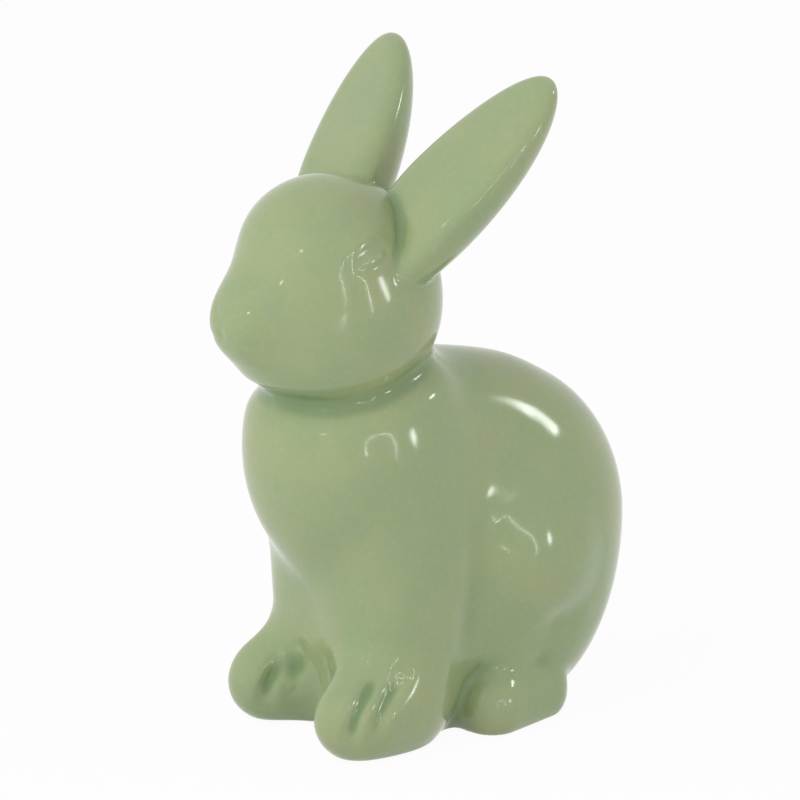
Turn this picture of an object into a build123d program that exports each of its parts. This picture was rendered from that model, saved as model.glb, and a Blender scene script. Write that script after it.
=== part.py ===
from build123d import *
import math
import os

# A glazed ceramic rabbit that sits up, put together from separate clay parts before it is fired.
# The rabbit faces -Y and its own left side is +X. It stands on z = 0, and the origin is in the
# middle of the ground that it covers. Lengths are in millimetres and angles in degrees.

os.makedirs("parts", exist_ok=True)

# Body
BODY_WIDTH = 63.0
BODY_LENGTH = 103.0
BACK_HEIGHT = 87.0
BODY_BLEND = 12.0
BODY_AXIS_FORWARD = 12.0
BODY_TOP = 98.0

# Forelegs, which are cast in one with the body
FORELEG_DIAMETER = 23.5
FORELEG_HEIGHT = 72.0
FORELEG_SPACING = 27.0
FORELEG_FORWARD = 18.5
FORELEG_RISE = 30.0
FORELEG_BLEND = 10.0

# Front paws, placed from the forelegs
PAW_WIDTH = 21.0
PAW_LENGTH = 32.0
PAW_HEIGHT = 24.0
PAW_RISE = 11.0
PAW_ADVANCE = 6.0
PAW_SPREAD = 4.5
TOE_WIDTH = 9.2
TOE_LENGTH = 21.0
TOE_HEIGHT = 17.0
TOE_BLEND = 2.0

# Head
HEAD_WIDTH = 50.0
HEAD_LENGTH = 52.0
HEAD_HEIGHT = 62.0
HEAD_FORWARD = 24.5
HEAD_RISE = 109.5
NECK_DROP = 24.5
BROW_BLEND = 6.0
MUZZLE_BLEND = 12.0

# Ears, placed from the head
EAR_WIDTH = 27.6
EAR_DEPTH = 24.4
EAR_LENGTH = 75.6
EAR_FACE_FORWARD = 4.5
EAR_FACE_SLOPE = 7.0
EAR_FACE_BLEND = 5.5
EAR_LEAN = 36.0
EAR_SPLAY = 24.0
EAR_TURN = 10.5

# Haunches, placed from the body
THIGH_WIDTH = 32.0
THIGH_LENGTH = 38.0
THIGH_HEIGHT = 42.0
SHANK_WIDTH = 17.0
SHANK_LENGTH = 17.0
SHANK_HEIGHT = 56.0
SHANK_OUTWARD = 1.0
SHANK_FORWARD = 7.5
SHANK_DROP = 19.0
SHANK_BLEND = 6.0

# Hind feet, placed from the shanks
FOOT_WIDTH = 23.0
FOOT_LENGTH = 24.0
FOOT_HEIGHT = 16.5
FOOT_SINK = 2.5
FOOT_ROUNDING = 8.0
FOOT_INWARD = 1.5
FOOT_BACKWARD = 8.0
FOOT_SPLAY = 22.0

# Tail, placed on the back of the body
TAIL_WIDTH = 16.0
TAIL_LENGTH = 15.0
TAIL_HEIGHT = 17.0

# Casting walls, the closing disc in the pouring hole, and the holes that let the air out
WALL = 4.5
EAR_WALL = 4.0
FLOOR_WALL = 5.0
DISC_DIAMETER = 25.0
DISC_THICKNESS = 2.0
DISC_RECESS = 0.5
DISC_CLEARANCE = 0.2
DISC_LEDGE = 3.0
AIR_HOLE_DIAMETER = 6.0
NECK_HOLE_DIAMETER = 10.0
EAR_HOLE_DIAMETER = 5.0

# How finely the rounded forms are drawn
RINGS = 14
SPOKES = 28
EAR_RINGS = 12
HALVINGS = 36

# Each form is a row of rounded lumps. Places and half sizes are shares of half the width, half the
# length and the whole height of what they shape, in the order x, y, z, then half sizes in x, y, z.
BODY_SHARES = {
    "belly": (0, 0.02, 0.437, 0.635, 0.602, 0.483),
    "skirt": (0, 0.03, 0.253, 0.556, 0.573, 0.552),
    "chest": (0, -0.427, 0.833, 0.825, 0.485, 0.391),
    "left_shoulder": (0.365, -0.233, 0.575, 0.46, 0.291, 0.483),
    "right_shoulder": (-0.365, -0.233, 0.575, 0.46, 0.291, 0.483),
    "hump": (0, 0.398, 0.534, 1, 0.699, 0.46),
    "nape": (0, 0.01, 0.891, 0.54, 0.505, 0.155),
    "rump": (0, 0.544, 0.299, 0.762, 0.379, 0.31),
}
HEAD_SHARES = {
    "skull": (0, 0, 0, 0.98, 1, 0.5),
    "brow": (0, -0.288, 0.21, 0.76, 0.596, 0.266),
    "muzzle": (0, -0.731, -0.032, 0.54, 0.538, 0.185),
}
EAR_SEAT_SHARES = (0.78, 0.662, 0.448)
THIGH_SEAT_SHARES = (0.587, 0.34, 0.494)
TAIL_SEAT_SHARES = (0, 0.99, 0.333)
TOE_SHARES = ((-0.571, -0.406), (0, -0.5), (0.571, -0.406))

REACH = BODY_WIDTH + BODY_LENGTH + BACK_HEIGHT


# A lump is its middle, its three half sizes, its own axes and the blend that joins it on


def upright():
    return ((1, 0, 0), (0, 1, 0), (0, 0, 1))


def lump(middle, half_sizes, blend=0, axes=None):
    return {"middle": middle, "half_sizes": half_sizes, "blend": blend, "axes": axes or upright()}


def shared_lump(shares, sizes, blend, origin=(0, 0, 0)):
    """A lump whose place and half sizes are shares of three sizes."""
    middle = tuple(o + s * size for o, s, size in zip(origin, shares[:3], sizes))
    return lump(middle, tuple(s * size for s, size in zip(shares[3:], sizes)), blend)


def dot(a, b):
    return sum(p * q for p, q in zip(a, b))


def cross(a, b):
    return (a[1] * b[2] - a[2] * b[1], a[2] * b[0] - a[0] * b[2], a[0] * b[1] - a[1] * b[0])


def unit(a):
    size = math.sqrt(dot(a, a))
    return tuple(p / size for p in a)


def moved(point, direction, distance):
    return tuple(p + distance * d for p, d in zip(point, direction))


def reach(start, end):
    return tuple(e - s for s, e in zip(start, end))


def reverse(a):
    return tuple(-p for p in a)


def axes_along(along, facing):
    """Axes across a form, out of its back and up along it, from the way that its front faces."""
    across = unit(cross(along, facing))
    return (across, cross(along, across), along)


def lump_depth(point, part):
    """About how far a point is outside a lump; less than zero inside it."""
    offset = [p - m for p, m in zip(point, part["middle"])]
    along = [dot(offset, axis) for axis in part["axes"]]
    near = math.sqrt(sum((a / h) ** 2 for a, h in zip(along, part["half_sizes"])))
    steep = math.sqrt(sum((a / h**2) ** 2 for a, h in zip(along, part["half_sizes"])))
    if not steep:
        return -min(part["half_sizes"])
    return near * (near - 1) / steep


def soft_union(a, b, blend):
    if not blend:
        return min(a, b)
    overlap = max(blend - abs(a - b), 0)
    return min(a, b) - overlap**2 / (4 * blend)


def form_depth(lumps):
    """The depth of lumps that are smoothed into each other in turn."""

    def depth(point):
        value = lump_depth(point, lumps[0])
        for part in lumps[1:]:
            value = soft_union(value, lump_depth(point, part), part["blend"])
        return value

    return depth


def surface_point(depth, start, direction, level):
    """The point on a ray from inside a form where the depth reaches the level."""
    inside, outside = 0, REACH
    for _ in range(HALVINGS):
        middle = (inside + outside) / 2
        if depth(moved(start, direction, middle)) < level:
            inside = middle
        else:
            outside = middle
    return moved(start, direction, inside)


def ring_height(share, flat_base, flat_top):
    """Where a ring lies between the base and the top, closer together towards a rounded end."""
    if flat_base and flat_top:
        return share
    if flat_base:
        return math.sin(math.pi / 2 * share)
    return (1 - math.cos(math.pi * share)) / 2


def form_solid(depth, start, stretch, level=0, axes=None, rings=RINGS, base=None, top=None):
    """A smooth solid through level rings of surface points around an axis of the form.

    It ends in flat faces at the distances along the axis that base and top give, or else rounded.
    Each ring starts at the front, so the seam of a body on the mirror plane lies on that plane.
    """
    across, back, along = axes or upright()
    if top is None:
        summit = surface_point(depth, start, along, level)
    else:
        summit = moved(start, along, top)
    if base is None:
        foot = surface_point(depth, start, reverse(along), level)
    else:
        foot = moved(start, along, base)
    height = dot(reach(foot, summit), along)

    def ring(share):
        centre = moved(foot, along, height * ring_height(share, base is not None, top is not None))
        points = []
        for i in range(SPOKES):
            turn = 2 * math.pi * i / SPOKES
            sideways = moved((0, 0, 0), across, stretch[0] * math.sin(turn))
            outward = unit(moved(sideways, back, -stretch[1] * math.cos(turn)))
            points.append(Vector(*surface_point(depth, centre, outward, level)))
        return Wire([Edge.make_spline(points, periodic=True)])

    sections = [ring(i / rings) for i in range(1, rings)]
    sections.insert(0, Vertex(*foot) if base is None else ring(0))
    sections.append(Vertex(*summit) if top is None else ring(1))
    return Solid.make_loft(sections)


def rod(start, end, diameter):
    """A round rod between two points, for a drilled hole."""
    axis = Vector(*end) - Vector(*start)
    plane = Plane(origin=start, z_dir=axis)
    return plane * Cylinder(diameter / 2, axis.length, align=(Align.CENTER, Align.CENTER, Align.MIN))


def largest(shape):
    """The one solid of a cut piece, without any crumb that a cut leaves."""
    return max(shape.solids(), key=lambda solid: solid.volume)


# Body

BODY_SIZES = (BODY_WIDTH / 2, BODY_LENGTH / 2, BACK_HEIGHT)
FORELEG_SIZES = (FORELEG_DIAMETER / 2, FORELEG_DIAMETER / 2, FORELEG_HEIGHT / 2)
BODY_FOOT = (0, -BODY_AXIS_FORWARD, 0)


def foreleg_middle(side):
    return (side * FORELEG_SPACING / 2, -FORELEG_FORWARD, FORELEG_RISE)


def body_form():
    lumps = [shared_lump(shares, BODY_SIZES, BODY_BLEND) for shares in BODY_SHARES.values()]
    lumps += [lump(foreleg_middle(side), FORELEG_SIZES, FORELEG_BLEND) for side in (1, -1)]
    return form_depth(lumps)


# Head

HEAD_SIZES = (HEAD_WIDTH / 2, HEAD_LENGTH / 2, HEAD_HEIGHT)
HEAD_MIDDLE = (0, -HEAD_FORWARD, HEAD_RISE)
HEAD_STRETCH = (HEAD_WIDTH / 2, HEAD_LENGTH / 2, HEAD_HEIGHT / 2)


def head_form():
    blends = {"skull": 0, "brow": BROW_BLEND, "muzzle": MUZZLE_BLEND}
    lumps = [
        shared_lump(shares, HEAD_SIZES, blends[name], HEAD_MIDDLE)
        for name, shares in HEAD_SHARES.items()
    ]
    return form_depth(lumps)


# Left ear: across its width, out of its face and up along it

EAR_SIZES = (EAR_WIDTH / 2, EAR_DEPTH / 2, EAR_LENGTH / 2)
EAR_MIDDLE = tuple(m + s * size for m, s, size in zip(HEAD_MIDDLE, EAR_SEAT_SHARES, HEAD_SIZES))


def ear_axes():
    lean, splay, turn = (math.radians(angle) for angle in (EAR_LEAN, EAR_SPLAY, EAR_TURN))
    along = (math.cos(lean) * math.sin(splay), math.sin(lean), math.cos(lean) * math.cos(splay))
    return axes_along(along, (-math.sin(turn), -math.cos(turn), 0))


def ear_form():
    """A long lump whose front is softly cut by a face that leans back towards the tip."""
    axes = ear_axes()
    whole = lump(EAR_MIDDLE, EAR_SIZES, axes=axes)

    def depth(point):
        offset = [p - m for p, m in zip(point, EAR_MIDDLE)]
        forward = -dot(offset, axes[1])
        rise = dot(offset, axes[2])
        face = forward - EAR_FACE_FORWARD + EAR_FACE_SLOPE * rise / EAR_LENGTH
        return -soft_union(-lump_depth(point, whole), -face, EAR_FACE_BLEND)

    return depth


# Front paw with three toes

PAW_SIZES = (PAW_WIDTH / 2, PAW_LENGTH / 2, PAW_HEIGHT / 2)
TOE_SIZES = (TOE_WIDTH / 2, TOE_LENGTH / 2, TOE_HEIGHT / 2)


def paw_middle():
    leg = foreleg_middle(1)
    return (leg[0] + PAW_SPREAD, leg[1] - PAW_ADVANCE, PAW_RISE)


def paw_form():
    middle = paw_middle()
    lumps = [lump(middle, PAW_SIZES)]
    for across_share, along_share in TOE_SHARES:
        place = (
            middle[0] + across_share * PAW_WIDTH / 2,
            middle[1] + along_share * PAW_LENGTH / 2,
            TOE_HEIGHT / 2,
        )
        lumps.append(lump(place, TOE_SIZES, TOE_BLEND))
    return form_depth(lumps)


# Haunch: the thigh and the shank below its knee

THIGH_SIZES = (THIGH_WIDTH / 2, THIGH_LENGTH / 2, THIGH_HEIGHT / 2)
SHANK_SIZES = (SHANK_WIDTH / 2, SHANK_LENGTH / 2, SHANK_HEIGHT / 2)
THIGH_MIDDLE = tuple(s * size for s, size in zip(THIGH_SEAT_SHARES, BODY_SIZES))
SHANK_MIDDLE = (
    THIGH_MIDDLE[0] + SHANK_OUTWARD,
    THIGH_MIDDLE[1] - SHANK_FORWARD,
    THIGH_MIDDLE[2] - SHANK_DROP,
)


def haunch_axes():
    return axes_along(unit(reach(SHANK_MIDDLE, THIGH_MIDDLE)), (0, -1, 0))


def haunch_form():
    return form_depth([lump(THIGH_MIDDLE, THIGH_SIZES), lump(SHANK_MIDDLE, SHANK_SIZES, SHANK_BLEND)])


# Tail

TAIL_SIZES = (TAIL_WIDTH / 2, TAIL_LENGTH / 2, TAIL_HEIGHT / 2)
TAIL_MIDDLE = tuple(s * size for s, size in zip(TAIL_SEAT_SHARES, BODY_SIZES))


def tail_form():
    return form_depth([lump(TAIL_MIDDLE, TAIL_SIZES)])


# Solids

BASE_ALIGN = (Align.CENTER, Align.CENTER, Align.MIN)
above_floor = Box(REACH, REACH, REACH, align=BASE_ALIGN)

body_outer = form_solid(body_form(), BODY_FOOT, BODY_SIZES, base=0, top=BODY_TOP)
head_outer = form_solid(head_form(), HEAD_MIDDLE, HEAD_STRETCH, base=-NECK_DROP)
head_with_wall = form_solid(head_form(), HEAD_MIDDLE, HEAD_STRETCH, WALL, base=-NECK_DROP - WALL)


def neck_hole():
    """The way for air between the hollow body and the hollow head."""
    below = moved(HEAD_MIDDLE, (0, 0, -1), NECK_DROP + 2 * WALL)
    return rod(below, HEAD_MIDDLE, NECK_HOLE_DIAMETER)


def pouring_hole():
    """The hole under the body, stepped so that the closing disc seats on a ledge."""
    seat_depth = DISC_RECESS + DISC_THICKNESS
    seat = Cylinder(DISC_DIAMETER / 2 + DISC_CLEARANCE, seat_depth, align=BASE_ALIGN)
    return seat + Cylinder(DISC_DIAMETER / 2 - DISC_LEDGE, 2 * FLOOR_WALL, align=BASE_ALIGN)


def make_body():
    room = form_solid(body_form(), BODY_FOOT, BODY_SIZES, -WALL, base=FLOOR_WALL, top=BODY_TOP)
    hollow = room - head_with_wall
    return largest(body_outer - head_outer - hollow - neck_hole() - pouring_hole())


def ear_hole(side):
    seat = (side * EAR_MIDDLE[0], EAR_MIDDLE[1], EAR_MIDDLE[2])
    return rod(HEAD_MIDDLE, seat, EAR_HOLE_DIAMETER)


def make_head():
    hollow = form_solid(head_form(), HEAD_MIDDLE, HEAD_STRETCH, -WALL, base=-NECK_DROP)
    return largest(head_outer - hollow - ear_hole(1) - ear_hole(-1))


def make_ear():
    axes = ear_axes()
    core = moved(EAR_MIDDLE, axes[1], (EAR_DEPTH / 2 - EAR_FACE_FORWARD) / 2)
    downward = (axes[0], axes[1], reverse(axes[2]))
    outer = form_solid(ear_form(), core, EAR_SIZES, axes=downward, rings=EAR_RINGS)
    hollow = form_solid(ear_form(), core, EAR_SIZES, -EAR_WALL, downward, EAR_RINGS)
    return largest(outer - head_outer - (hollow - head_with_wall) - ear_hole(1))


def mirrored(shape):
    return mirror(shape, about=Plane.YZ)


def paw_outer():
    return form_solid(paw_form(), paw_middle(), PAW_SIZES, base=-PAW_RISE)


def haunch_outer():
    whole = form_solid(haunch_form(), THIGH_MIDDLE, THIGH_SIZES, axes=haunch_axes())
    return whole & above_floor


def foot_outer():
    """A rounded block that turns its toes outward from under the shank."""
    block = Box(FOOT_WIDTH, FOOT_LENGTH, FOOT_HEIGHT + FOOT_SINK, align=BASE_ALIGN)
    block = fillet(block.edges(), FOOT_ROUNDING)
    place = Pos(SHANK_MIDDLE[0] - FOOT_INWARD, SHANK_MIDDLE[1] + FOOT_BACKWARD, -FOOT_SINK)
    return (place * Rot(0, 0, FOOT_SPLAY) * block) & above_floor


def make_tail():
    return largest(form_solid(tail_form(), TAIL_MIDDLE, TAIL_SIZES) - body_outer)


def make_base_disc():
    disc = Cylinder(DISC_DIAMETER / 2, DISC_THICKNESS, align=BASE_ALIGN)
    hole = Cylinder(AIR_HOLE_DIAMETER / 2, DISC_THICKNESS, align=BASE_ALIGN)
    return Pos(0, 0, DISC_RECESS) * (disc - hole)


pieces = {
    "body": make_body(),
    "head": make_head(),
    "tail": make_tail(),
    "base_disc": make_base_disc(),
    "ear_left": make_ear(),
}
haunch = haunch_outer()
foot = foot_outer() - haunch
for name, outer in {"front_paw": paw_outer(), "haunch": haunch, "hind_foot": foot}.items():
    pieces[name + "_left"] = largest(outer - body_outer)
for name in ("ear", "front_paw", "haunch", "hind_foot"):
    pieces[name + "_right"] = mirrored(pieces[name + "_left"])

for name, piece in pieces.items():
    export_step(piece, "parts/" + name + ".step")
    print(name, round(piece.volume), "mm3")
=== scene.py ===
import math

import bpy
import numpy as np
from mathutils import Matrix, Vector


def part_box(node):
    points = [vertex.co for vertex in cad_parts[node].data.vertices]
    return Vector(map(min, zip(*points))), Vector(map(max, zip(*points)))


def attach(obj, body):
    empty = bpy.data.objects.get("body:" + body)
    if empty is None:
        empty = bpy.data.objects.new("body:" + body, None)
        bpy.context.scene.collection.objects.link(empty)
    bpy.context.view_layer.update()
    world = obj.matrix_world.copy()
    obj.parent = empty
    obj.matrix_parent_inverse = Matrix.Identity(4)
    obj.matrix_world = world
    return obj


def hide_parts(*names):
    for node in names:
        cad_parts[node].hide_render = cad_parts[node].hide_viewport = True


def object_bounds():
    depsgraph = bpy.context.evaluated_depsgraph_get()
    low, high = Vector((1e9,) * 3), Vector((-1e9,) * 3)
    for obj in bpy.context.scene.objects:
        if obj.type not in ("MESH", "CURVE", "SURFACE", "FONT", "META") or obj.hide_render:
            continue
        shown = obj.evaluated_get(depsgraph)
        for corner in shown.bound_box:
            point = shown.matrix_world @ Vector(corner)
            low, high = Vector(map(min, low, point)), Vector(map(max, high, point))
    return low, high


bl_info = {
    "name": "Glazed ceramic rabbit",
    "version": (1, 0, 0),
    "blender": (4, 5, 0),
    "location": "View3D > Sidebar > Rabbit",
    "description": "Models and glazes a ceramic rabbit that sits up",
    "category": "Object",
}

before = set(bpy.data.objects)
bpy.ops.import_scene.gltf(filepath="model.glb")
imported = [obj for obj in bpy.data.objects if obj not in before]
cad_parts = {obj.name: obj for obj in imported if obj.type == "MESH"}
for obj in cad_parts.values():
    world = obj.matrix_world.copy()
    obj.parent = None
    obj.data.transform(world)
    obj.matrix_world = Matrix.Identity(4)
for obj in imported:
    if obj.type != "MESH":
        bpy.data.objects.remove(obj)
CAD_BOX = [list(corner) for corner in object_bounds()]
MM = 0.001

# The clay form, in millimetres. The rabbit faces -Y and its own left side is +X.
# It is a row of rounded lumps, each a middle, three half sizes and the blend that joins it on.

TORSO_LUMPS = (
    ("belly", (0, 1, 38), (20, 31, 42), 0),
    ("skirt", (0, 1.5, 22), (17.5, 29.5, 48), 12),
    ("chest", (0, -22, 72.5), (26, 25, 34), 12),
    ("left shoulder", (11.5, -12, 50), (14.5, 15, 42), 12),
    ("right shoulder", (-11.5, -12, 50), (14.5, 15, 42), 12),
    ("hump", (0, 20.5, 46.5), (31.5, 36, 40), 12),
    ("nape", (0, 0.5, 77.5), (17, 26, 13.5), 12),
    ("rump", (0, 28, 26), (24, 19.5, 27), 12),
    ("left foreleg", (13.5, -18.5, 30), (11.75, 11.75, 36), 10),
    ("right foreleg", (-13.5, -18.5, 30), (11.75, 11.75, 36), 10),
)
HEAD_LUMPS = (
    ("skull", (0, -24, 109.5), (24, 25.5, 30), 0),
    ("left brow", (2, -30, 122.5), (17, 17, 16), 6),
    ("right brow", (-2, -30, 122.5), (17, 17, 16), 6),
    ("left muzzle", (3.5, -37, 108.5), (10, 20.5, 13), 8.5),
    ("right muzzle", (-3.5, -37, 108.5), (10, 20.5, 13), 8.5),
    ("left cheek", (4, -29.5, 101), (15, 18, 14), 7),
    ("right cheek", (-4, -29.5, 101), (15, 18, 14), 7),
)
PAW_LUMPS = (
    ("paw", (18, -25, 11), (10.5, 16.5, 12), 0),
    ("toes", (18, -31, 9.5), (9.2, 12, 10), 4),
)
HAUNCH_LUMPS = (
    ("thigh", (18.5, 17.5, 43), (16, 19, 21), 0),
    ("shank", (18.5, 11, 26), (8.5, 9, 26), 6),
)
TAIL_LUMPS = (("tail", (0, 51, 29), (8, 7.5, 8.5), 0),)

EAR_MIDDLE = (19.5, -7.3, 137.3)
EAR_HALF_SIZES = (13.8, 12.2, 37.8)
EAR_LEAN, EAR_SPLAY, EAR_TURN = 36, 24, 10.5
# The flat front of an ear: how far it is in front of the middle, its slope and its rounding
EAR_FACE_AHEAD, EAR_FACE_SLOPE, EAR_FACE_ROUNDING = 4.5, 7 / 75, 4.5
# Below this height it draws back to the root: the height, how steeply and how softly
EAR_ROOT_HEIGHT, EAR_ROOT_SLOPE, EAR_ROOT_SOFTNESS = -6, 0.2, 8

FOOT_MIDDLE = (19, 13.5, 6.5)
FOOT_HALF_SIZES = (10, 16.5, 9.5)
FOOT_ROUNDING, FOOT_SPLAY = 9, 12

HEAD_BLEND, EAR_BLEND, PAW_BLEND = 2.5, 1.5, 8
HAUNCH_BLEND, FOOT_BLEND, TAIL_BLEND = 3, 3, 2
FLOOR_EDGE = 1.2

# The pouring hole under the body: a seat for the closing disc, and the hollow above it
SEAT_RADIUS, SEAT_DEPTH = 12.7, 2.5
WELL_RADIUS, WELL_DEPTH = 9.5, 14
HOLE_EDGE = 0.6

# Details that were tooled into the clay, on the left side, in millimetres
EYE_MIDDLE = (20, -29.2, 124.6)
EYE_OUTWARD = (0.96, -0.1, 0.25)
EYE_ALONG = (0.14, 0.92, 0.36)
# How deep into the form and out of it an eye reaches, and how wide the creases of its lids are
EYE_REACH, LID_WIDTH = 7, 1.1
# How far above the eye's middle the brow runs, and how it bows down towards its ends
BROW_ABOVE, BROW_BOW = 5.4, 0.04
BROW_HEIGHT, BROW_WIDTH, BROW_LENGTH = 0.7, 2.2, 6
MOUTH_LINE = ((0, -58, 106.2), (3, -57.7, 106), (5.6, -56.7, 105.2), (8.4, -54.3, 105))
NOSE_LINE = ((0, -58, 106.2), (0, -58.4, 109.4), (1.6, -58.2, 110.8), (3, -57.4, 112.4))
LINE_WIDTH = 1.2
TOE_LINES = (
    ((22.5, -29.5, 21.5), (23.8, -34.5, 17), (24.8, -38.5, 12), (25, -39.5, 5)),
    ((25.6, -25, 21), (27, -30, 16.5), (28, -34, 11.5), (28, -34, 5)),
    ((10.2, -33.8, 18.5), (10.4, -36.5, 14.6), (11, -38.6, 10.6), (11.5, -39.3, 5)),
    ((6.3, -31.5, 20.2), (6.9, -32.3, 17.5), (7.8, -33.5, 11)),
)
TOE_WIDTH = 2.1
# The valley in front of each haunch, the hollow over each heel and the hollow of the neck
HAUNCH_LINE = ((28, -2, 66), (28.5, -3, 50), (27.5, -4, 34), (25, -5, 18))
HEEL_LINE = ((31, 10, 25), (30, 20, 26), (26, 31, 27))
NECK_FRONT = ((-8, -43, 88), (0, -46, 88), (8, -43, 88), (16.5, -36, 87.5))
NECK_LINE = (*NECK_FRONT, (21, -26, 89.5), (20, -14, 94), (15, -4, 96))
# Each valley: its path, its depth and its width
VALLEYS = ((HAUNCH_LINE, 1.1, 4.5), (HEEL_LINE, 1.3, 5.5), (NECK_LINE, 1.9, 4))
# Where the details can be: eyes and mouth above this height and in front of these planes, and
# toes below this height and in front of this plane
FACE_ABOVE, EYES_FRONT, MOUTH_FRONT = 100, -18, -50
TOES_BELOW, TOES_FRONT = 27, -20

# How thick the glaze is, and with it the painted light on ridges and the painted shade in creases,
# follows how the form bends, over a short and a long reach
SHORT_REACH, LONG_REACH = 1.2, 4
# For each reach: the bend of a crease where glaze begins to pool and painted shade begins, the span
# of bends until it is deepest there, and its share of the whole. Over the short reach it is pooled
# glaze and painted shade together; over the long reach it is painted shade in wide hollows, such
# as under the head
SHORT_POOLS_AND_PAINTED_SHADE, WIDE_PAINTED_SHADE = (0.05, 1.2, 0.35), (0.01, 0.3, 0.6)
# The bend of a ridge where the glaze begins to break paler, with painted light on it, and the span
# until it is palest
RIDGE_BEND, RIDGE_SPAN = 0.16, 0.7

MARGIN_STEPS, QUICK_STEP = 4.1, 1.6
# Only the blocks of the grid that are within so many block widths of the surface are sampled
# in full
BLOCK_STEPS, CLOSE_BLOCKS = 6, 1.6
# The surface's points are set on the form by moves no longer than this, in millimetres, as if
# the squared slope were nowhere less than this
LONGEST_MOVE, FLATTEST_SLOPE = 0.6, 0.05
TINY = 1e-9


def soft_min(a, b, blend):
    """The smaller of two depths, rounded over where they are nearly the same."""
    if not blend:
        return np.minimum(a, b)
    overlap = np.maximum(blend - np.abs(a - b), 0)
    return np.minimum(a, b) - overlap * overlap / (4 * blend)


def soft_max(a, b, blend):
    return -soft_min(-a, -b, blend)


def smooth_step(x):
    x = np.clip(x, 0, 1)
    return x * x * (3 - 2 * x)


def lump_depth(points, middle, half_sizes, axes=None):
    """How far points are outside a rounded lump, in millimetres; less than zero inside it."""
    offset = points - np.asarray(middle, float)
    if axes is not None:
        offset = offset @ axes
    share = offset / np.asarray(half_sizes, float)
    near = np.sqrt((share * share).sum(-1))
    slope = share / np.asarray(half_sizes, float)
    steep = np.sqrt((slope * slope).sum(-1))
    return near * (near - 1) / np.maximum(steep, TINY)


def lumps_depth(points, lumps):
    depth = None
    for _, middle, half_sizes, blend in lumps:
        added = lump_depth(points, middle, half_sizes)
        depth = added if depth is None else soft_min(depth, added, blend)
    return depth


def on_left(points):
    """The same points on the rabbit's left side, where the pieces of a pair are laid out."""
    mirrored = points.copy()
    mirrored[:, 0] = np.abs(points[:, 0])
    return mirrored


def ear_axes():
    """Across the left ear, out of its back and up along it."""
    lean, splay, turn = (math.radians(angle) for angle in (EAR_LEAN, EAR_SPLAY, EAR_TURN))
    along = np.array(
        [math.cos(lean) * math.sin(splay), math.sin(lean), math.cos(lean) * math.cos(splay)]
    )
    facing = np.array([-math.sin(turn), -math.cos(turn), 0])
    across = np.cross(along, facing)
    across /= np.linalg.norm(across)
    return np.stack([across, np.cross(along, across), along], 1)


def ear_depth(left):
    """A long lump whose front is softly cut by a face that leans back towards the tip."""
    axes = ear_axes()
    whole = lump_depth(left, EAR_MIDDLE, EAR_HALF_SIZES, axes)
    offset = (left - np.asarray(EAR_MIDDLE, float)) @ axes
    below_root = soft_max(EAR_ROOT_HEIGHT - offset[:, 2], 0, EAR_ROOT_SOFTNESS)
    face = -offset[:, 1] - EAR_FACE_AHEAD + EAR_FACE_SLOPE * offset[:, 2]
    return soft_max(whole, face + EAR_ROOT_SLOPE * below_root, EAR_FACE_ROUNDING)


def foot_depth(left):
    """A rounded block that turns its toes outward."""
    splay = math.radians(FOOT_SPLAY)
    cos, sin = math.cos(splay), math.sin(splay)
    turn = np.array([[cos, -sin, 0], [sin, cos, 0], [0, 0, 1]])
    turned = (left - np.asarray(FOOT_MIDDLE, float)) @ turn
    outside = np.abs(turned) - (np.asarray(FOOT_HALF_SIZES, float) - FOOT_ROUNDING)
    beyond = np.sqrt((np.maximum(outside, 0) ** 2).sum(-1))
    return beyond + np.minimum(outside.max(-1), 0) - FOOT_ROUNDING


def paw_depth(left):
    return lumps_depth(left, PAW_LUMPS)


def haunch_depth(left):
    return lumps_depth(left, HAUNCH_LUMPS)


def rabbit_depth(points):
    """The whole glazed form, with the creases between its pieces filled as glaze fills them."""
    left = on_left(points)
    low = soft_min(lumps_depth(points, TORSO_LUMPS), paw_depth(left), PAW_BLEND)
    low = soft_min(low, haunch_depth(left), HAUNCH_BLEND)
    low = soft_min(low, foot_depth(left), FOOT_BLEND)
    low = soft_min(low, lumps_depth(points, TAIL_LUMPS), TAIL_BLEND)
    high = soft_min(lumps_depth(points, HEAD_LUMPS), ear_depth(left), EAR_BLEND)
    depth = soft_min(low, high, HEAD_BLEND) - relief(left)
    depth = soft_max(depth, -points[:, 2], FLOOR_EDGE)
    radius = np.hypot(points[:, 0], points[:, 1])
    seat = np.maximum(radius - SEAT_RADIUS, points[:, 2] - SEAT_DEPTH)
    well = np.maximum(radius - WELL_RADIUS, points[:, 2] - WELL_DEPTH)
    return soft_max(depth, -np.minimum(seat, well), HOLE_EDGE)


# Tooled details, as heights above the plain form in millimetres


def bell(distance, width):
    return np.exp(-((distance / width) ** 2))


def curved(path, rounds=3):
    """The same path with its corners cut again and again, until it reads as a curve."""
    path = np.asarray(path, float)
    for _ in range(rounds):
        starts, ends = path[:-1], path[1:]
        cuts = np.stack([0.75 * starts + 0.25 * ends, 0.25 * starts + 0.75 * ends], 1)
        path = np.concatenate([path[:1], cuts.reshape(-1, 3), path[-1:]])
    return path


def line_distance(points, path):
    """How far points are from a path of straight runs."""
    nearest = np.full(len(points), np.inf)
    for start, end in zip(path[:-1], path[1:]):
        run = np.subtract(end, start)
        offset = points - np.asarray(start, float)
        share = np.clip(offset @ run / (run @ run), 0, 1)
        nearest = np.minimum(nearest, np.linalg.norm(offset - share[:, None] * run, axis=1))
    return nearest


def furrow(points, path, width):
    """One in the middle of a furrow along a path, and less towards its sides and its ends."""
    path = curved(path)
    reach, fade = 3 * width, 4 * width
    near = ((points > path.min(0) - reach) & (points < path.max(0) + reach)).all(1)
    close = points[near]
    from_ends = np.min([np.linalg.norm(close - end, axis=1) for end in (path[0], path[-1])], 0)
    amount = np.zeros(len(points))
    amount[near] = bell(line_distance(close, path), width)
    amount[near] *= smooth_step((from_ends + width) / fade)
    return amount


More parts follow.
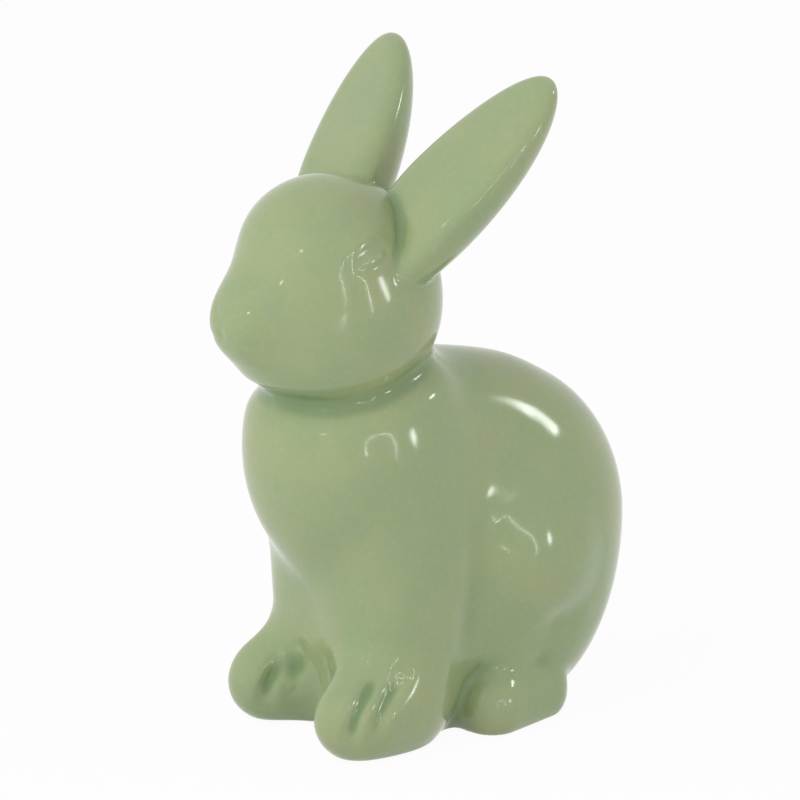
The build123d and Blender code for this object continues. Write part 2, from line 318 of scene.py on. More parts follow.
def eye_relief(left):
    """A low almond between two lids, under a soft brow."""
    outward = np.asarray(EYE_OUTWARD) / np.linalg.norm(EYE_OUTWARD)
    along = np.asarray(EYE_ALONG) - np.dot(EYE_ALONG, outward) * outward
    along /= np.linalg.norm(along)
    offset = left - np.asarray(EYE_MIDDLE)
    a, b = offset @ along, offset @ np.cross(outward, along)
    half_length, half_height = detail("eye_length") / 2, detail("eye_height") / 2
    radius = (half_length**2 + half_height**2) / (2 * half_height)
    edge = np.sqrt(a * a + (np.abs(b) + radius - half_height) ** 2) - radius
    ball = detail("eye_bulge") * smooth_step(-edge / half_height)
    lids = -detail("line_depth") / 2 * bell(edge, LID_WIDTH)
    brow = BROW_HEIGHT * bell(b - BROW_ABOVE + BROW_BOW * a * a, BROW_WIDTH) * bell(a, BROW_LENGTH)
    return (ball + lids + brow) * (np.abs(offset @ outward) < EYE_REACH)


def relief(left):
    """Eyes and brows, the mouth and nose lines, the grooves between the toes and the valleys."""
    height = np.zeros(len(left))
    face = (left[:, 2] > FACE_ABOVE) & (left[:, 1] < EYES_FRONT)
    height[face] += eye_relief(left[face])
    mouth = (left[:, 2] > FACE_ABOVE) & (left[:, 1] < MOUTH_FRONT)
    for path in (MOUTH_LINE, NOSE_LINE):
        line = bell(line_distance(left[mouth], path), LINE_WIDTH)
        height[mouth] -= detail("line_depth") * line
    toes = (left[:, 2] < TOES_BELOW) & (left[:, 1] < TOES_FRONT)
    for path in TOE_LINES:
        height[toes] -= detail("toe_depth") * furrow(left[toes], path, TOE_WIDTH)
    for path, depth, width in VALLEYS:
        height -= depth * furrow(left, path, width)
    return height


# The surface: one grid of samples gives all pieces, so that they meet without a gap


def slopes(depth, points):
    """The direction in which the depth grows fastest, and how fast, at each point."""
    step = 0.02
    corners = np.array([[1, -1, -1], [-1, -1, 1], [-1, 1, -1], [1, 1, 1]], float)
    total = np.zeros_like(points)
    for corner in corners:
        total += corner * depth(points + step * corner)[:, None]
    return total / (4 * step)


def bending(depth, points, reach):
    """How strongly the surface bends: more than zero on a ridge, less in a crease, per mm."""
    total = -6 * depth(points)
    for step in np.concatenate([np.eye(3), -np.eye(3)]) * reach:
        total += depth(points + step)
    return total / reach**2


def glaze_pooling_and_painted_light(points):
    """From 0, where the glaze breaks pale over a ridge and light is painted on, to 1, where it
    pools in a crease and shade is painted in.
    """
    short, long = (bending(rabbit_depth, points, reach) for reach in (SHORT_REACH, LONG_REACH))
    # This value is glaze and painted light together: painted light where ridges break pale, painted
    # shade where creases pool
    thickness = 0.5 - 0.5 * smooth_step((short - RIDGE_BEND) / RIDGE_SPAN)
    for bend, (begins, span, share) in ((short, SHORT_POOLS_AND_PAINTED_SHADE), (long, WIDE_PAINTED_SHADE)):
        thickness += 0.5 * share * smooth_step((-bend - begins) / span)
    return thickness


def sampled(depth, low, counts, cell):
    """Depths on a grid: exact near the surface, and only of the right sign further away."""
    block = BLOCK_STEPS
    blocks = -(-counts // block)
    order = np.indices(blocks).reshape(3, -1).T
    rough = depth(low + (order + 0.5) * block * cell).reshape(blocks)
    values = rough.repeat(block, 0).repeat(block, 1).repeat(block, 2)
    near = np.argwhere(np.abs(rough) < CLOSE_BLOCKS * block * cell)
    inner = np.indices((block, block, block)).reshape(3, -1).T
    places = (near[:, None] * block + inner[None]).reshape(-1, 3)
    values[tuple(places.T)] = depth(low + places * cell)
    return values


def net(values, low, cell):
    """Corner points and four-sided faces of the surface between inside and outside samples."""
    inside = values < 0
    sizes = np.array(values.shape) - 1
    corners = [(a, b, c) for a in (0, 1) for b in (0, 1) for c in (0, 1)]
    count = np.zeros(sizes, np.int8)
    for a, b, c in corners:
        count += inside[a : a + sizes[0], b : b + sizes[1], c : c + sizes[2]]
    cells = np.argwhere((count > 0) & (count < len(corners)))
    number = np.full(sizes, -1, np.int64)
    number[tuple(cells.T)] = np.arange(len(cells))
    total = np.zeros((len(cells), 3))
    hits = np.zeros(len(cells))
    at = {corner: values[tuple((cells + corner).T)] for corner in corners}
    for axis in range(3):
        for start in corners:
            if start[axis]:
                continue
            end = tuple(v + (i == axis) for i, v in enumerate(start))
            a, b = at[start], at[end]
            crossed = (a < 0) != (b < 0)
            share = np.where(crossed, a / np.where(crossed, a - b, 1), 0)
            place = np.tile(np.array(start, float), (len(cells), 1))
            place[:, axis] += share
            total += place * crossed[:, None]
            hits += crossed
    points = low + (cells + total / hits[:, None]) * cell
    quads = []
    for axis in range(3):
        u, v = (axis + 1) % 3, (axis + 2) % 3
        first = [slice(1, -1)] * 3
        first[axis] = slice(0, -1)
        second = list(first)
        second[axis] = slice(1, None)
        change = inside[tuple(first)] != inside[tuple(second)]
        edges = np.argwhere(change)
        offset = np.ones(3, int)
        offset[axis] = 0
        edges = edges + offset
        outward = inside[tuple(edges.T)]
        ring = []
        for du, dv in ((1, 1), (0, 1), (0, 0), (1, 0)):
            place = edges.copy()
            place[:, u] -= du
            place[:, v] -= dv
            ring.append(number[tuple(place.T)])
        ring = np.stack(ring, 1)
        quads.append(np.where(outward[:, None], ring, ring[:, ::-1]))
    return points, np.concatenate(quads)


def settled(depth, points, quads, rounds=3):
    """The corner points evened out along the surface and set exactly on it."""
    ends = np.concatenate([quads[:, [i, (i + 1) % 4]] for i in range(4)])
    degree = np.bincount(ends[:, 0], minlength=len(points))
    for turn in range(rounds):
        if turn:
            sums = [np.bincount(ends[:, 0], points[ends[:, 1], i], len(points)) for i in range(3)]
            points = 0.5 * points + 0.5 * np.stack(sums, 1) / np.maximum(degree, 1)[:, None]
        for _ in range(2):
            slope = slopes(depth, points)
            square = np.maximum((slope * slope).sum(-1), FLATTEST_SLOPE)
            move = -(depth(points) / square)[:, None] * slope
            size = np.maximum(np.linalg.norm(move, axis=1), TINY)
            points = points + move * np.minimum(1, LONGEST_MOVE / size)[:, None]
    return points


# Each piece's own form. A face of the surface belongs to the piece whose form it is closest to
OWNERS = {
    "body": lambda points, left: lumps_depth(points, TORSO_LUMPS),
    "head": lambda points, left: lumps_depth(points, HEAD_LUMPS),
    "ear": lambda points, left: ear_depth(left),
    "front_paw": lambda points, left: paw_depth(left),
    "haunch": lambda points, left: haunch_depth(left),
    "hind_foot": lambda points, left: foot_depth(left),
    "tail": lambda points, left: lumps_depth(points, TAIL_LUMPS),
}
PAIRS = ("ear", "front_paw", "haunch", "hind_foot")
SURFACE = {}


def surface():
    """The whole surface, made once: points, outward directions, faces and each face's piece."""
    if SURFACE:
        return SURFACE
    cell = detail("surface_step") * 1
    low = np.array(CAD_BOX[0]) / MM - MARGIN_STEPS * cell
    high = np.array(CAD_BOX[1]) / MM + MARGIN_STEPS * cell
    counts = np.ceil((high - low) / cell).astype(int)
    points, quads = net(sampled(rabbit_depth, low, counts, cell), low, cell)
    points = settled(rabbit_depth, points, quads)
    slope = slopes(rabbit_depth, points)
    outward = slope / np.linalg.norm(slope, axis=1)[:, None]
    middles = points[quads].mean(1)
    left = on_left(middles)
    names = np.array(list(OWNERS))
    owner = np.argmin([owned(middles, left) for owned in OWNERS.values()], 0)
    pieces = names[tidied(owner, quads, len(points), len(names))]
    side = np.where(middles[:, 0] > 0, "_left", "_right")
    pieces = np.where(np.isin(pieces, PAIRS), np.char.add(pieces, side), pieces)
    # Glaze values, with painted light on ridges and painted shade in creases
    glaze = glaze_pooling_and_painted_light(points)
    SURFACE.update(points=points, outward=outward, quads=quads, pieces=pieces, glaze=glaze)
    return SURFACE


def tidied(owner, quads, total, kinds, rounds=4):
    """Each face goes to the piece that most faces around it belong to, so no islands are left."""
    for _ in range(rounds):
        votes = np.zeros((total, kinds))
        for i in range(4):
            np.add.at(votes, (quads[:, i], owner), 1)
        owner = votes[quads].sum(1).argmax(1)
    return owner


def shell_mesh(name, form, quads, wall):
    """A closed clay wall: the surface outside, the same surface moved inward, and rims."""
    used, faces = np.unique(quads, return_inverse=True)
    faces = faces.reshape(-1, 4)
    outer, normals, glaze = form["points"][used], form["outward"][used], form["glaze"][used]
    inner = outer - wall * normals
    count = len(used)
    edges = np.concatenate([faces[:, [i, (i + 1) % 4]] for i in range(4)])
    keys = edges[:, 0] * count + edges[:, 1]
    twins = edges[:, 1] * count + edges[:, 0]
    rim = edges[~np.isin(keys, twins)]
    walls = np.stack([rim[:, 1], rim[:, 0], rim[:, 0] + count, rim[:, 1] + count], 1)
    everything = np.concatenate([faces, faces[:, ::-1] + count, walls])
    mesh = bpy.data.meshes.new(name)
    mesh.from_pydata((np.concatenate([outer, inner]) * MM).tolist(), [], everything.tolist())
    mesh.update()
    flat = np.zeros(len(mesh.polygons) * 3)
    mesh.polygons.foreach_get("normal", flat)
    rim_normals = flat.reshape(-1, 3)[2 * len(faces) :]
    loops = np.concatenate(
        [normals[faces], -normals[faces[:, ::-1]], np.repeat(rim_normals[:, None], 4, 1)]
    )
    mesh.polygons.foreach_set("use_smooth", np.ones(len(mesh.polygons), bool))
    mesh.normals_split_custom_set(loops.reshape(-1, 3).tolist())
    # The glaze values carry painted light on ridges and painted shade in creases
    thickness = mesh.attributes.new("glaze_pooling_and_painted_light", "FLOAT", "POINT")
    thickness.data.foreach_set("value", np.concatenate([glaze, glaze]).astype(np.float32))
    return mesh


def carry(piece, node):
    """The piece moves with the rabbit and stands for the clay node of that name."""
    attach(piece, "root")
    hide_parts(node)


def glaze_piece(node):
    """Makes the glazed wall that stands for one clay node."""
    form = surface()
    chosen = form["pieces"] == node
    if not chosen.any():
        raise RuntimeError("no surface belongs to " + node)
    mesh = shell_mesh(node, form, form["quads"][chosen], detail("wall"))
    mesh.materials.append(sage_glaze())
    piece = bpy.data.objects.new("glazed_" + node, mesh)
    bpy.context.scene.collection.objects.link(piece)
    carry(piece, node)


# Materials

# Where a Mix node has its factor, its two colours and the mixed colour
MIX_FACTOR, MIX_UNDER, MIX_OVER, MIXED = 0, 6, 7, 2
# The foot ring is glazed above and wiped bare below these heights
GLAZED_ABOVE, WIPED_BELOW = 0.7 * MM, 0.3 * MM


def linear(code):
    """A linear colour from an sRGB hex value."""
    parts = [int(code[i : i + 2], 16) / 255 for i in (1, 3, 5)]
    return [c / 12.92 if c <= 0.04045 else ((c + 0.055) / 1.055) ** 2.4 for c in parts] + [1]


def add_node(tree, kind, inputs=None, **settings):
    """Adds a node with its settings. Each input gets a value or the socket that feeds it."""
    node = tree.nodes.new(kind)
    for key, value in settings.items():
        setattr(node, key, value)
    for key, value in (inputs or {}).items():
        if isinstance(value, bpy.types.NodeSocket):
            tree.links.new(value, node.inputs[key])
        else:
            node.inputs[key].default_value = value
    return node


def new_material(name):
    material = bpy.data.materials.new(name)
    material.use_nodes = True
    material.node_tree.nodes.clear()
    return material, material.node_tree


def layered(tree, colour, layers):
    """Lays colours over one another, each where its pattern shows it.

    A layer is its pattern, the values of it where the layer begins and where it is full, how
    much it then covers, and its colour.
    """
    for pattern, begins, full, cover, over in layers:
        amount = add_node(
            tree,
            "ShaderNodeMapRange",
            {"Value": pattern, "From Min": begins, "From Max": full, "To Max": cover},
            interpolation_type="SMOOTHSTEP",
        )
        mix = add_node(
            tree,
            "ShaderNodeMix",
            {MIX_FACTOR: amount.outputs[0], MIX_UNDER: colour, MIX_OVER: over},
            data_type="RGBA",
        )
        colour = mix.outputs[MIXED]
    return colour


def sage_glaze():
    """Sage green gloss glaze, dipped over slip-cast stoneware.

    It pools darker and bluer in creases, where shade is painted in as well, breaks pale over
    ridges, where light is painted on as well, and drifts between green and olive, because the
    dipped glaze is not equally thick. The foot is wiped bare to stand on.
    """
    name = "sage_green_dipped_gloss_glaze"
    if name in bpy.data.materials:
        return bpy.data.materials[name]
    colours = bpy.context.scene.rabbit_colours
    material, tree = new_material(name)
    place = add_node(tree, "ShaderNodeTexCoord").outputs["Object"]
    # Patterns by the width of their patches in mm, their finer levels and how strong these are:
    # the colour drifts and mottles as the photograph shows, and the coat has waves and a grain
    drift, mottle, grain, waves = (
        add_node(
            tree,
            "ShaderNodeTexNoise",
            {"Vector": place, "Scale": 1 / (size * MM), "Detail": levels, "Roughness": strength},
        ).outputs[0]
        for size, levels, strength in ((18, 2, 0.5), (6, 3, 0.6), (1.5, 2, 0.6), (7, 1, 0.5))
    )
    pooling_and_painted_light = add_node(tree, "ShaderNodeAttribute", attribute_name="glaze_pooling_and_painted_light").outputs["Fac"]
    height = add_node(tree, "ShaderNodeSeparateXYZ", {"Vector": place}).outputs["Z"]
    # Olive drifts, cool mottles, a pale grain, pooled glaze with painted shade in creases, pale
    # glaze with painted light on ridges and the wiped foot
    layers = (
        (drift, 0.38, 0.62, 1, colours.olive),
        (mottle, 0.5, 0.72, 0.45, colours.cool),
        (grain, 0.45, 0.75, 0.12, colours.pale_glaze_and_painted_light),
        # Pooled glaze with painted shade in creases, then pale glaze with painted light on ridges
        (pooling_and_painted_light, 0.5, 1, 0.9, colours.pooled_glaze_and_painted_shade),
        (pooling_and_painted_light, 0.5, 0, 0.8, colours.pale_glaze_and_painted_light),
        (height, GLAZED_ABOVE, WIPED_BELOW, 1, colours.clay),
    )
    # The gloss of a smooth glaze, a little softer in the mottles, and matt where it is wiped off
    gloss = add_node(
        tree,
        "ShaderNodeMapRange",
        {"Value": mottle, "From Min": 0.3, "From Max": 0.7, "To Min": 0.1, "To Max": 0.14},
        interpolation_type="SMOOTHSTEP",
    )
    rough = add_node(
        tree,
        "ShaderNodeMapRange",
        {
            "Value": height,
            "From Min": GLAZED_ABOVE,
            "From Max": WIPED_BELOW,
            "To Min": gloss.outputs[0],
            "To Max": 0.8,
        },
        interpolation_type="SMOOTHSTEP",
    )
    # Glaze levels out but keeps faint waves, 0.012 mm high
    bump = add_node(
        tree, "ShaderNodeBump", {"Height": waves, "Strength": 1, "Distance": 0.012 * MM}
    )
    shader = add_node(
        tree,
        "ShaderNodeBsdfPrincipled",
        {
            "IOR": 1.5,
            "Base Color": layered(tree, colours.green, layers),
            "Roughness": rough.outputs[0],
            "Normal": bump.outputs["Normal"],
        },
    )
    add_node(tree, "ShaderNodeOutputMaterial", {"Surface": shader.outputs["BSDF"]})
    return material


def bare_stoneware():
    """Buff stoneware, fired without glaze: matt and chalky, with fine darker grog in it."""
    name = "unglazed_buff_stoneware"
    if name in bpy.data.materials:
        return bpy.data.materials[name]
    material, tree = new_material(name)
    place = add_node(tree, "ShaderNodeTexCoord").outputs["Object"]
    # Clouds in the clay are about 8 mm wide, and grains of grog are about 0.4 mm across
    cloud, grog = (
        add_node(
            tree,
            "ShaderNodeTexNoise",
            {"Vector": place, "Scale": 1 / (size * MM), "Detail": levels},
        ).outputs[0]
        for size, levels in ((8, 2), (0.4, 1))
    )
    layers = (
        (cloud, 0.35, 0.65, 0.5, linear("#bdb094")),
        (grog, 0.62, 0.72, 0.6, linear("#8c7d64")),
    )
    rough = add_node(
        tree,
        "ShaderNodeMapRange",
        {"Value": grog, "From Min": 0.3, "From Max": 0.7, "To Min": 0.75, "To Max": 0.9},
        interpolation_type="SMOOTHSTEP",
    )
    bump = add_node(
        tree, "ShaderNodeBump", {"Height": grog, "Strength": 0.6, "Distance": 0.05 * MM}
    )
    shader = add_node(
        tree,
        "ShaderNodeBsdfPrincipled",
        {
            "IOR": 1.5,
            "Base Color": layered(tree, bpy.context.scene.rabbit_colours.clay, layers),
            "Roughness": rough.outputs[0],
            "Normal": bump.outputs["Normal"],
        },
    )
    add_node(tree, "ShaderNodeOutputMaterial", {"Surface": shader.outputs["BSDF"]})
    return material


# The closing disc, turned around its air hole

DISC_CORNERS, EDGE_CORNERS = 96, 4


def turned_ring_tree():
    """Sweeps a rounded rectangle around a circle: a ring with a hole."""
    tree = bpy.data.node_groups.new("turned ring", "GeometryNodeTree")
    tree.interface.new_socket("Geometry", in_out="OUTPUT", socket_type="NodeSocketGeometry")
    for name in ("Outer Radius", "Hole Radius", "Thickness", "Underside", "Edge Radius"):
        tree.interface.new_socket(name, in_out="INPUT", socket_type="NodeSocketFloat")
    tree.interface.new_socket("Clay", in_out="INPUT", socket_type="NodeSocketMaterial")
    given = add_node(tree, "NodeGroupInput").outputs
    width = add_node(
        tree,
        "ShaderNodeMath",
        {0: given["Outer Radius"], 1: given["Hole Radius"]},
        operation="SUBTRACT",
    )
    middle, rise = (
        add_node(tree, "ShaderNodeMath", {0: size, 1: 0.5, 2: start}, operation="MULTIPLY_ADD")
        for size, start in (
            (width.outputs[0], given["Hole Radius"]),
            (given["Thickness"], given["Underside"]),
        )
    )
    path = add_node(
        tree,
        "GeometryNodeCurvePrimitiveCircle",
        {"Resolution": DISC_CORNERS, "Radius": middle.outputs[0]},
    )
    section = add_node(
        tree,
        "GeometryNodeCurvePrimitiveQuadrilateral",
        {"Width": width.outputs[0], "Height": given["Thickness"]},
    )
    rounded = add_node(
        tree,
        "GeometryNodeFilletCurve",
        {"Count": EDGE_CORNERS, "Curve": section.outputs[0], "Radius": given["Edge Radius"]},
        mode="POLY",
    )
    swept = add_node(
        tree,
        "GeometryNodeCurveToMesh",
        {"Curve": path.outputs["Curve"], "Profile Curve": rounded.outputs[0]},
    )
    lift = add_node(tree, "ShaderNodeCombineXYZ", {"Z": rise.outputs[0]})
    lifted = add_node(
        tree,
        "GeometryNodeSetPosition",
        {"Geometry": swept.outputs[0], "Offset": lift.outputs[0]},
    )
    real = add_node(tree, "GeometryNodeRealizeInstances", {"Geometry": lifted.outputs[0]})
    clay = add_node(
        tree,
        "GeometryNodeSetMaterial",
        {"Geometry": real.outputs[0], "Material": given["Clay"]},
    )
    add_node(tree, "NodeGroupOutput", {"Geometry": clay.outputs[0]})
    return tree


def mesh_from_tree(name, tree, values):
    """An object whose plain mesh is what the tree makes."""
    maker = bpy.data.objects.new(name, bpy.data.meshes.new(name + "_start"))
    bpy.context.scene.collection.objects.link(maker)
    modifier = maker.modifiers.new("shape", "NODES")
    modifier.node_group = tree
    for item in tree.interface.items_tree:
        if item.in_out == "INPUT":
            modifier[item.identifier] = values[item.name]
    graph = bpy.context.evaluated_depsgraph_get()
    made = bpy.data.meshes.new_from_object(maker.evaluated_get(graph))
    maker.modifiers.clear()
    maker.data = made
    if not made.polygons:
        raise RuntimeError("the tree made nothing for " + name)
    return maker


# Sizes and colours that can be changed


def length(name, description, default):
    return bpy.props.FloatProperty(
        name=name, description=description, default=default, min=0, unit="LENGTH", precision=5
    )


def colour(name, description, code):
    return bpy.props.FloatVectorProperty(
        name=name, description=description, default=linear(code), size=4, subtype="COLOR"
    )


class RabbitSizes(bpy.types.PropertyGroup):
    surface_step: length("Surface step", "Step of the modelled surface", 0.00084)
    wall: length("Wall", "Thickness of the visible clay wall", 0.002)
    eye_length: length("Eye length", "Length of each eye from corner to corner", 0.0092)
    eye_height: length("Eye height", "Height of each eye between its lids", 0.0046)
    eye_bulge: length("Eye bulge", "How far each eyeball stands out", 0.0003)
    line_depth: length("Line depth", "Depth of the mouth and nose lines", 0.00025)
    toe_depth: length("Toe groove depth", "Depth of the grooves between the toes", 0.0016)
    air_hole: length("Air hole", "Diameter of the air hole in the closing disc", 0.006)
    disc_edge: length("Disc edge", "Rounding of the closing disc's edges", 0.0004)


class RabbitColours(bpy.types.PropertyGroup):
    green: colour("Green", "Glaze where it drifts green", "#95a678")
    olive: colour("Olive", "Glaze where it drifts olive", "#9ba779")
    cool: colour("Cool", "Glaze in its cooler mottles", "#91a47f")
    # Pale glaze breaking over ridges, which also paints light on them; also the colour of the pale
    # grain
    pale_glaze_and_painted_light: colour("Thin", "Glaze where it breaks over a ridge", "#b6be92")
    # Dark glaze pooled in creases, which also paints shade into them
    pooled_glaze_and_painted_shade: colour("Pooled", "Glaze where it pools in a crease", "#6f8a5c")
    clay: colour("Clay", "Stoneware without glaze", "#cfc3a8")


def detail(name):
    """A size that can be changed, in millimetres."""
    return getattr(bpy.context.scene.rabbit_sizes, name) / MM


# Pieces


class RABBIT_OT_body(bpy.types.Operator):
    """Makes the glazed body with both forelegs"""

    bl_idname = "rabbit.body"
    bl_label = "Body"

    def execute(self, context):
        glaze_piece("body")
        return {"FINISHED"}


class RABBIT_OT_head(bpy.types.Operator):
    """Makes the glazed head with eyes, nose and mouth"""

    bl_idname = "rabbit.head"
    bl_label = "Head"

    def execute(self, context):
        glaze_piece("head")
        return {"FINISHED"}


class RABBIT_OT_ears(bpy.types.Operator):
    """Makes both glazed ears"""

    bl_idname = "rabbit.ears"
    bl_label = "Ears"

    def execute(self, context):
        glaze_piece("ear_left")
        glaze_piece("ear_right")
        return {"FINISHED"}


class RABBIT_OT_front_paws(bpy.types.Operator):
    """Makes both glazed front paws with their toe grooves"""

    bl_idname = "rabbit.front_paws"
    bl_label = "Front paws"

    def execute(self, context):
        glaze_piece("front_paw_left")
        glaze_piece("front_paw_right")
        return {"FINISHED"}


class RABBIT_OT_haunches(bpy.types.Operator):
    """Makes both glazed haunches"""

    bl_idname = "rabbit.haunches"
    bl_label = "Haunches"

    def execute(self, context):
        glaze_piece("haunch_left")
        glaze_piece("haunch_right")
        return {"FINISHED"}


class RABBIT_OT_hind_feet(bpy.types.Operator):
    """Makes both glazed hind feet"""

    bl_idname = "rabbit.hind_feet"
    bl_label = "Hind feet"

    def execute(self, context):
        glaze_piece("hind_foot_left")
        glaze_piece("hind_foot_right")
        return {"FINISHED"}


class RABBIT_OT_tail(bpy.types.Operator):
    """Makes the glazed tail"""

    bl_idname = "rabbit.tail"
    bl_label = "Tail"

    def execute(self, context):
        glaze_piece("tail")
        return {"FINISHED"}


class RABBIT_OT_closing_disc(bpy.types.Operator):
    """Makes the bare clay disc that closes the pouring hole"""

    bl_idname = "rabbit.closing_disc"
    bl_label = "Closing disc"

    def execute(self, context):
        low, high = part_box("base_disc")
        sizes = context.scene.rabbit_sizes
        values = {
            "Outer Radius": (high[0] - low[0]) / 2,
            "Hole Radius": sizes.air_hole / 2,
            "Thickness": high[2] - low[2],
            "Underside": low[2],
            "Edge Radius": sizes.disc_edge,
            "Clay": bare_stoneware(),
        }
        piece = mesh_from_tree("closing_disc", turned_ring_tree(), values)
        carry(piece, "base_disc")
        return {"FINISHED"}


# The studio: the camera, soft lamps, a lit ring, a white surround and a white paper floor

CAMERA_TARGET = (0, -0.002, 0.085)
CAMERA_AWAY = 1.258
CAMERA_ROUND, CAMERA_UP = 53, 16.35
CAMERA_FOCAL_PIXELS = 5158
CAMERA_SHIFT_PIXELS = (-12.2, -17.8)
IMAGE_PIXELS = 800
SENSOR = 36

# Each lamp: degrees round from the camera, degrees up, width and height in metres, brightness,
# and whether the gloss mirrors it
LAMPS = (
    ("lamp_beside", 99, 32, 0.15, 0.08, 16, True),
    ("lamp_beside_glow", 99, 32, 0.2, 0.14, 5, True),
    ("lamp_low", 59, 5, 0.07, 0.13, 16, True),
    ("lamp_low_glow", 59, 5, 0.12, 0.19, 5, True),
    ("lamp_left", -32, 25, 0.045, 0.045, 20, True),
    ("fill_from_the_left", -55, 34, 1.0, 1.0, 2.2, False),
)
LAMP_AWAY = 1.0
RING_ROUND, RING_UP, RING_AWAY = 29, 1, 1.0
RING_RADIUS, RING_WIDTH, RING_BRIGHTNESS = 0.22, 0.01, 26
RING_CORNERS = 128

# How bright the surround is as light on the rabbit, where white is 1
SURROUND_LIGHT = 0.55
# How much of the floor is plain white where it is seen; the rest shows the rabbit's shadow
FLOOR_WHITENESS = 0.95
FLOOR_HALF = 4


def direction(round_degrees, up_degrees):
    """Towards a place seen from the rabbit, with zero degrees round in front of it."""
    a, e = math.radians(round_degrees), math.radians(up_degrees)
    return Vector((math.sin(a) * math.cos(e), -math.cos(a) * math.cos(e), math.sin(e)))


def set_facing(thing, away, distance):
    """Puts a lamp or the camera so far away on that side, looking at the rabbit."""
    thing.location = Vector(CAMERA_TARGET) + distance * away
    thing.rotation_euler = away.to_track_quat("Z", "Y").to_euler()


def put_camera(scene):
    data = bpy.data.cameras.new("camera")
    camera = bpy.data.objects.new("camera", data)
    scene.collection.objects.link(camera)
    set_facing(camera, direction(CAMERA_ROUND, CAMERA_UP), CAMERA_AWAY)
    data.sensor_width = SENSOR
    data.lens = SENSOR * CAMERA_FOCAL_PIXELS / IMAGE_PIXELS
    data.shift_x = CAMERA_SHIFT_PIXELS[0] / IMAGE_PIXELS
    data.shift_y = CAMERA_SHIFT_PIXELS[1] / IMAGE_PIXELS
    scene.camera = camera


def put_lamps(scene):
    """Round soft lamps, each as bright over its whole face as its row says."""
    for name, around, up, width, height, brightness, mirrored in LAMPS:
        data = bpy.data.lights.new(name, "AREA")
        data.shape = "ELLIPSE"
        data.size, data.size_y = width, height
        face = math.pi / 4 * width * height
        data.energy = math.pi * brightness * face
        lamp = bpy.data.objects.new(name, data)
        lamp.visible_camera = False
        lamp.visible_glossy = mirrored
        scene.collection.objects.link(lamp)
        set_facing(lamp, direction(CAMERA_ROUND + around, up), LAMP_AWAY)


def put_ring(scene):
    """The thin bright rim of a round diffuser, which the gloss glaze mirrors as fine loops."""
    away = direction(CAMERA_ROUND + RING_ROUND, RING_UP)
    turn = away.to_track_quat("Z", "Y")
    centre = Vector(CAMERA_TARGET) + RING_AWAY * away
    points, faces = [], []
    for i in range(RING_CORNERS):
        angle = 2 * math.pi * i / RING_CORNERS
        spoke = turn @ Vector((math.cos(angle), math.sin(angle), 0))
        points += [centre + RING_RADIUS * spoke, centre + (RING_RADIUS + RING_WIDTH) * spoke]
        j = (i + 1) % RING_CORNERS
        faces.append((2 * i, 2 * i + 1, 2 * j + 1, 2 * j))
    mesh = bpy.data.meshes.new("diffuser_rim")
    mesh.from_pydata([tuple(p) for p in points], [], faces)
    material, tree = new_material("lit_rim_of_a_diffuser")
    glow = add_node(tree, "ShaderNodeEmission", {"Strength": RING_BRIGHTNESS})
    add_node(tree, "ShaderNodeOutputMaterial", {"Surface": glow.outputs[0]})
    mesh.materials.append(material)
    ring = bpy.data.objects.new("diffuser_rim", mesh)
    ring.visible_camera = False
    scene.collection.objects.link(ring)


def seen_directly(tree):
    """One for what the camera sees, straight or mirrored or through glass, else zero."""
    rays = add_node(tree, "ShaderNodeLightPath").outputs
    total = rays["Is Camera Ray"]
    for name in ("Is Glossy Ray", "Is Transmission Ray"):
        largest = add_node(tree, "ShaderNodeMath", {0: total, 1: rays[name]}, operation="MAXIMUM")
        total = largest.outputs[0]
    return total


def white_surround(scene):
    """White where it is seen, and a softer white as light on the rabbit."""
    world = bpy.data.worlds.new("white_surround")
    scene.world = world
    world.use_nodes = True
    tree = world.node_tree
    tree.nodes.clear()
    strength = add_node(
        tree, "ShaderNodeMapRange", {"Value": seen_directly(tree), "To Min": SURROUND_LIGHT}
    )
    background = add_node(
        tree,
        "ShaderNodeBackground",
        {"Color": (1, 1, 1, 1), "Strength": strength.outputs[0]},
    )
    add_node(tree, "ShaderNodeOutputWorld", {"Surface": background.outputs[0]})


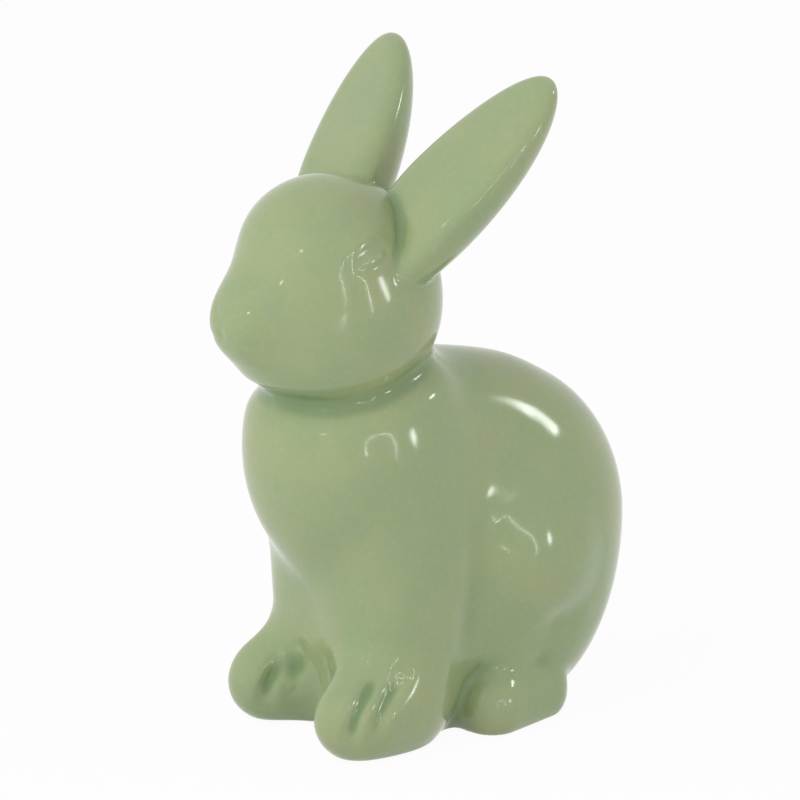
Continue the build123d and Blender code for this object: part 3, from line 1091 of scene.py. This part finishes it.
def white_floor(scene):
    """A wide white paper floor that keeps a faint shadow of the rabbit."""
    corners = [(x * FLOOR_HALF, y * FLOOR_HALF, 0) for x, y in ((-1, -1), (1, -1), (1, 1), (-1, 1))]
    mesh = bpy.data.meshes.new("floor")
    mesh.from_pydata(corners, [], [(0, 1, 2, 3)])
    material, tree = new_material("white_paper")
    place = add_node(tree, "ShaderNodeTexCoord").outputs["Object"]
    # Paper fibres lie in tufts about 0.6 mm wide
    fibres = add_node(tree, "ShaderNodeTexNoise", {"Vector": place, "Scale": 1 / (0.6 * MM)})
    layers = ((fibres.outputs[0], 0.3, 0.7, 1, linear("#efefef")),)
    paper = layered(tree, linear("#eaeaea"), layers)
    plain = add_node(tree, "ShaderNodeBsdfDiffuse", {"Color": paper})
    bright = add_node(tree, "ShaderNodeEmission", {"Strength": 1})
    share = add_node(
        tree, "ShaderNodeMapRange", {"Value": seen_directly(tree), "To Max": FLOOR_WHITENESS}
    )
    both = add_node(
        tree,
        "ShaderNodeMixShader",
        {0: share.outputs[0], 1: plain.outputs[0], 2: bright.outputs[0]},
    )
    add_node(tree, "ShaderNodeOutputMaterial", {"Surface": both.outputs[0]})
    mesh.materials.append(material)
    floor = bpy.data.objects.new("floor", mesh)
    scene.collection.objects.link(floor)


class RABBIT_OT_stage(bpy.types.Operator):
    """Sets up the floor, the lights and the camera"""

    bl_idname = "rabbit.stage"
    bl_label = "Stage"

    def execute(self, context):
        scene = context.scene
        put_camera(scene)
        put_lamps(scene)
        put_ring(scene)
        white_surround(scene)
        white_floor(scene)
        scene.view_settings.view_transform = "Standard"
        return {"FINISHED"}


OPERATORS = (
    RABBIT_OT_stage,
    RABBIT_OT_body,
    RABBIT_OT_head,
    RABBIT_OT_ears,
    RABBIT_OT_front_paws,
    RABBIT_OT_haunches,
    RABBIT_OT_hind_feet,
    RABBIT_OT_tail,
    RABBIT_OT_closing_disc,
)


class RABBIT_PT_panel(bpy.types.Panel):
    """Sizes, colours and pieces of the ceramic rabbit"""

    bl_idname = "RABBIT_PT_panel"
    bl_label = "Ceramic rabbit"
    bl_space_type = "VIEW_3D"
    bl_region_type = "UI"
    bl_category = "Rabbit"

    def draw(self, context):
        for group in (context.scene.rabbit_sizes, context.scene.rabbit_colours):
            for name in group.__annotations__:
                self.layout.prop(group, name)
        for kind in OPERATORS:
            self.layout.operator(kind.bl_idname)


CLASSES = (RabbitSizes, RabbitColours, *OPERATORS, RABBIT_PT_panel)


def register():
    for kind in CLASSES:
        bpy.utils.register_class(kind)
    bpy.types.Scene.rabbit_sizes = bpy.props.PointerProperty(type=RabbitSizes)
    bpy.types.Scene.rabbit_colours = bpy.props.PointerProperty(type=RabbitColours)


def unregister():
    del bpy.types.Scene.rabbit_colours
    del bpy.types.Scene.rabbit_sizes
    for kind in reversed(CLASSES):
        bpy.utils.unregister_class(kind)


def main():
    register()
    bpy.ops.rabbit.stage()
    bpy.ops.rabbit.body()
    bpy.ops.rabbit.head()
    bpy.ops.rabbit.ears()
    bpy.ops.rabbit.front_paws()
    bpy.ops.rabbit.haunches()
    bpy.ops.rabbit.hind_feet()
    bpy.ops.rabbit.tail()
    bpy.ops.rabbit.closing_disc()


if __name__ == "__main__":
    main()
